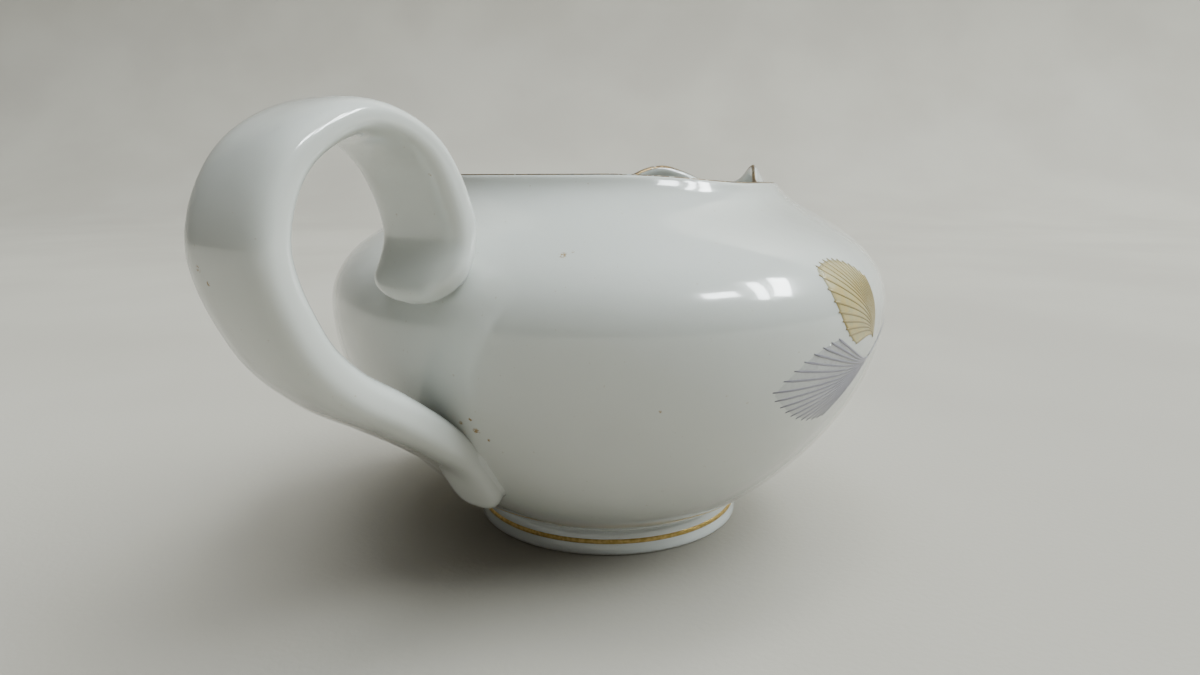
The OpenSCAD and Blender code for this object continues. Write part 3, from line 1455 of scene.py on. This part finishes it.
@dataclass(frozen=True)
class CameraPlace:
    """Where the camera stands, in millimetres and degrees."""

    x: float = -128.22
    y: float = -80.12
    z: float = 64.2
    heading: float = -57.42
    tilt: float = 11.65
    roll: float = -0.20
    lens: float = 24.0
    sensor: float = 36.0


class Seen(Enum):
    """What a light does: it is mirrored in the glaze, or it lights everything softly."""

    MIRRORED = 1
    SPREAD = 2


@dataclass(frozen=True)
class Pane:
    """One soft light, aimed at the jug: its direction, size and strength."""

    name: str
    azimuth: float
    elevation: float
    distance: float
    width: float
    height: float
    radiance: float
    seen: Seen
    spin: float = 0.0
    colour: Colour = (1.0, 1.0, 1.0)

    def build(self, target: Vector) -> bpy.types.Object:
        """Makes the light.

        Args:
            target: the point that it is aimed at, in metres.

        Returns:
            The light.
        """
        a, e = math.radians(self.azimuth), math.radians(self.elevation)
        way = Vector((math.cos(a) * math.cos(e), math.sin(a) * math.cos(e), math.sin(e)))
        lamp = bpy.data.lights.new(self.name, "AREA")
        lamp.shape = "RECTANGLE"
        lamp.size, lamp.size_y = self.width, self.height
        lamp.energy = self.radiance * math.pi * self.width * self.height
        lamp.color = self.colour
        holder = bpy.data.objects.new(self.name, lamp)
        turn = (-way).to_track_quat("-Z", "Y").to_matrix().to_4x4()
        turn = turn @ Matrix.Rotation(math.radians(self.spin), 4, "Z")
        holder.matrix_world = Matrix.Translation(target + way * self.distance) @ turn
        holder.visible_glossy = self.seen is Seen.MIRRORED
        holder.visible_diffuse = self.seen is Seen.SPREAD
        bpy.context.scene.collection.objects.link(holder)
        return holder


class Studio:
    """A pale sweep, soft lights and the camera."""

    target = Vector((-0.01, 0.0, 0.04))
    panes = (
        Pane("window_left", -93, 44, 1.1, 0.24, 0.13, 40.0, Seen.MIRRORED, -12, DAYLIGHT),
        Pane("window_middle", -73, 40.5, 1.1, 0.09, 0.40, 44.0, Seen.MIRRORED, -30, DAYLIGHT),
        Pane("window_right", -61, 38, 1.1, 0.13, 0.40, 44.0, Seen.MIRRORED, -45, DAYLIGHT),
        Pane("curtain", -52, 46, 4.0, 3.8, 3.2, 8.4, Seen.SPREAD, 0, (0.90, 0.99, 1.0)),
        Pane("ceiling", -60, 82, 3.6, 4.4, 4.0, 2.0, Seen.SPREAD, 0, DAYLIGHT),
        Pane("room", -110, 40, 4.0, 3.0, 2.0, 0.20, Seen.SPREAD, 0, (1.0, 0.97, 0.92)),
    )
    backdrop = Pane("backdrop", -110, 50, 1.6, 2.2, 0.5, 8.0, Seen.SPREAD, 0, (0.95, 1.0, 1.0))
    backdrop_target = Vector((1.15, 0.75, 0.7))
    ambient: Colour = (1.0, 0.97, 0.91)
    ambient_strength = 0.07
    beyond_strength = 0.42

    def floor(self, material: bpy.types.Material) -> bpy.types.Object:
        """Makes the sweep: a floor that curves up behind the jug.

        Args:
            material: the sweep's material.

        Returns:
            The sweep.
        """
        bm = bmesh.new()
        bmesh.ops.create_grid(bm, x_segments=2, y_segments=60, size=0.5)
        heading = math.radians(CameraPlace.heading)
        back = Vector((-math.sin(heading), math.cos(heading), 0))
        across = Vector((back.y, -back.x, 0))
        near, flat, radius, wall, width = -1.6, 0.9, 0.5, 1.6, 6.0
        arc = radius * math.pi / 2
        length = (flat - near) + arc + wall
        for v in bm.verts:
            d = (v.co.y + 0.5) * length
            if d < flat - near:
                out, up = near + d, 0.0
            elif d < flat - near + arc:
                a = (d - flat + near) / radius
                out, up = flat + radius * math.sin(a), radius * (1 - math.cos(a))
            else:
                out, up = flat + radius, radius + d - (flat - near + arc)
            v.co = across * v.co.x * width + back * out + Vector((0, 0, up))
        bmesh.ops.recalc_face_normals(bm, faces=bm.faces[:])
        if bm.faces[:][0].normal.z < 0:
            bmesh.ops.reverse_faces(bm, faces=bm.faces[:])
        sweep = MeshTools.finish("studio_floor", bm, material)
        return sweep

    def lights(self) -> None:
        """Makes the lights and the even surroundings."""
        for pane in self.panes:
            pane.build(self.target)
        self.backdrop.build(self.backdrop_target)
        world = bpy.data.worlds.new("studio")
        world.use_nodes = True
        sky = world.node_tree.nodes["Background"]
        sky.inputs["Color"].default_value = (*self.ambient, 1.0)
        seen = world.node_tree.nodes.new("ShaderNodeLightPath")
        strength = world.node_tree.nodes.new("ShaderNodeMapRange")
        strength.inputs["To Min"].default_value = self.ambient_strength
        strength.inputs["To Max"].default_value = self.beyond_strength
        world.node_tree.links.new(seen.outputs["Is Camera Ray"], strength.inputs["Value"])
        world.node_tree.links.new(strength.outputs["Result"], sky.inputs["Strength"])
        bpy.context.scene.world = world

    def camera(self, place: CameraPlace) -> bpy.types.Object:
        """Makes the camera.

        Args:
            place: where it stands.

        Returns:
            The camera, set as the scene's.
        """
        data = bpy.data.cameras.new("camera")
        data.lens = place.lens
        data.sensor_width = place.sensor
        data.dof.use_dof = False
        data.clip_start = 0.005
        holder = bpy.data.objects.new("camera", data)
        h, t = math.radians(place.heading), math.radians(place.tilt)
        ahead = Vector((-math.sin(h) * math.cos(t), math.cos(h) * math.cos(t), -math.sin(t)))
        turn = ahead.to_track_quat("-Z", "Y").to_matrix().to_4x4()
        turn = turn @ Matrix.Rotation(math.radians(place.roll), 4, "Z")
        holder.matrix_world = Matrix.Translation(Vector((place.x, place.y, place.z)) * MM) @ turn
        bpy.context.scene.collection.objects.link(holder)
        bpy.context.scene.camera = holder
        return holder


# ---- the whole jug ----


class CreamJug:
    """Every piece of the jug, riding on its CAD body."""

    flecks = (
        Speck(-39.7, -17.6, 53.3, 0.75),
        Speck(-38.6, -18.5, 53.6, 0.35),
        Speck(-47.0, -4.7, 29.4, 0.45),
        Speck(-46.3, -6.9, 28.3, 0.75),
        Speck(-47.2, -6.6, 30.2, 0.40),
        Speck(-45.4, -8.4, 26.9, 0.40),
        Speck(-50.2, 3.9, 57.1, 0.45),
        Speck(-50.6, 2.4, 58.6, 0.35),
        Speck(-52.3, -6.0, 64.0, 0.35),
        Speck(-78.9, 2.8, 54.2, 0.60),
        Speck(-78.7, 1.6, 52.6, 0.40),
        Speck(-37.0, -31.4, 32.7, 0.35),
    )
    fans = (
        FanSize("gold_fan", turn_from_spout=91.0, foot_z=38.4, edge=92.0, opens=1, longest=19.2,
                first_angle=4.0, last_angle=85.0, peak_angle=49.0, fall_before=0.0105,
                fall_after=0.0172, strokes=20, bow=0.26),
        FanSize("grey_fan", turn_from_spout=91.0, foot_z=35.6, edge=227.5, opens=-1, longest=25.6,
                first_angle=9.0, last_angle=68.0, peak_angle=43.0, fall_before=0.0143,
                fall_after=0.0186, strokes=18, bow=0.14, stem=(14.8, 4.4)),
        FanSize("small_fan", turn_from_spout=74.0, foot_z=40.0, edge=330.0, opens=1, longest=13.0,
                first_angle=9.0, last_angle=80.0, peak_angle=43.0, fall_before=0.0135,
                fall_after=0.0150, strokes=15, bow=0.2),
    )

    def __init__(self) -> None:
        """Makes the materials and the shapes."""
        self.finishes = Finishes(
            glaze=GlazeFinish(flecks=self.flecks).build(),
            # The foot ring gets a much brighter copy of the glaze. This is painted light, standing
            # in for the light that the overhanging belly keeps off the foot.
            foot_glaze=GlazeFinish(
                "foot_porcelain", white=(0.86, 0.90, 0.88), deep=(0.82, 0.86, 0.84)).build(),
            rim_gold=GildingFinish(
                "rim_gilding", gold=(0.34, 0.24, 0.11), dark=(0.17, 0.12, 0.08),
                wear=0.45).build(),
            foot_gold=GildingFinish(
                "foot_gilding", gold=(0.80, 0.58, 0.22), dark=(0.62, 0.42, 0.12),
                wear=-0.2).build(),
            gold_paint=EnamelFinish(
                "gold_strokes", light=(0.45, 0.37, 0.18), strong=(0.34, 0.26, 0.10),
                metallic=0.1).build(),
            gold_wash=EnamelFinish(
                "gold_wash", light=(0.67, 0.60, 0.33), strong=(0.62, 0.48, 0.19), cover=0.85,
                feet=GOLD_FEET, reach=24.0, tip_cover=0.22).build(),
            grey_paint=EnamelFinish(
                "grey_strokes", light=(0.33, 0.32, 0.37), strong=(0.24, 0.23, 0.28)).build(),
            grey_wash=EnamelFinish(
                "grey_wash", light=(0.54, 0.52, 0.58), strong=(0.48, 0.46, 0.53), cover=0.24,
                feet=GREY_FEET, reach=26.0, tip_cover=0.08).build(),
            floor=FloorFinish().build(),
        )
        self.pieces: list[bpy.types.Object] = []

    def _add(self, piece: bpy.types.Object, slot: str, *nodes: str) -> None:
        """Rides a piece on the jug and keeps it.

        Args:
            piece: the piece.
            slot: not used.
            *nodes: the CAD nodes that it stands for.
        """
        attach(piece, ROOT)
        if nodes:
            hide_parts(*nodes)
        self.pieces.append(piece)

    def build(self) -> Sequence[bpy.types.Object]:
        """Makes every piece.

        Returns:
            The pieces.
        """
        f = self.finishes
        shape = BodyShape(BodySize())
        body = Body(shape)
        foot = Foot(FootSize())
        handle = Handle(StrapShape(StrapSize()), body)
        spans = handle.shape.spans
        self._add(body.build(f.glaze), "porcelain", "body")
        self._add(foot.build(f.foot_glaze), "porcelain", "foot_ring")
        line = foot.line(middle=2.5, width=0.78, film=0.08, material=f.foot_gold)
        self._add(line, "gilding", "foot_gilding")
        self._add(RimLine(shape).build(f.rim_gold), "gilding", "rim_gilding")
        self._add(handle.build(f.glaze), "porcelain", "handle")
        upper = Fillet("upper_luting", start=spans - 1.9, end=spans, start_radius=4.5,
                       end_radius=0.6)
        lower = Fillet("lower_luting", start=0.0, end=1.5, start_radius=0.35, end_radius=0.9)
        self._add(handle.slip(upper, f.glaze), "slip", "upper_handle_slip")
        self._add(handle.slip(lower, f.glaze), "slip", "lower_handle_slip")
        for side in Side:
            for size in self.fans:
                fan = Fan(size, side, body)
                grey = size.name == "grey_fan"
                paint, wash = (f.grey_paint, f.grey_wash) if grey else (f.gold_paint, f.gold_wash)
                slot = "grey_enamel" if grey else "gold_enamel"
                self._add(fan.strokes(paint), slot, fan.name)
                self._add(fan.wash(wash), slot)
        return self.pieces


def main() -> None:
    """Builds the jug and its studio."""
    logging.basicConfig(level=logging.INFO, format="%(name)s: %(message)s")
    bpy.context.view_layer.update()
    studio = Studio()
    studio.camera(CameraPlace())
    jug = CreamJug()
    for piece in jug.build():
        log.info("%s: %d faces", piece.name, len(piece.data.polygons))
    studio.floor(jug.finishes.floor)
    studio.lights()


if __name__ == "__main__":
    main()
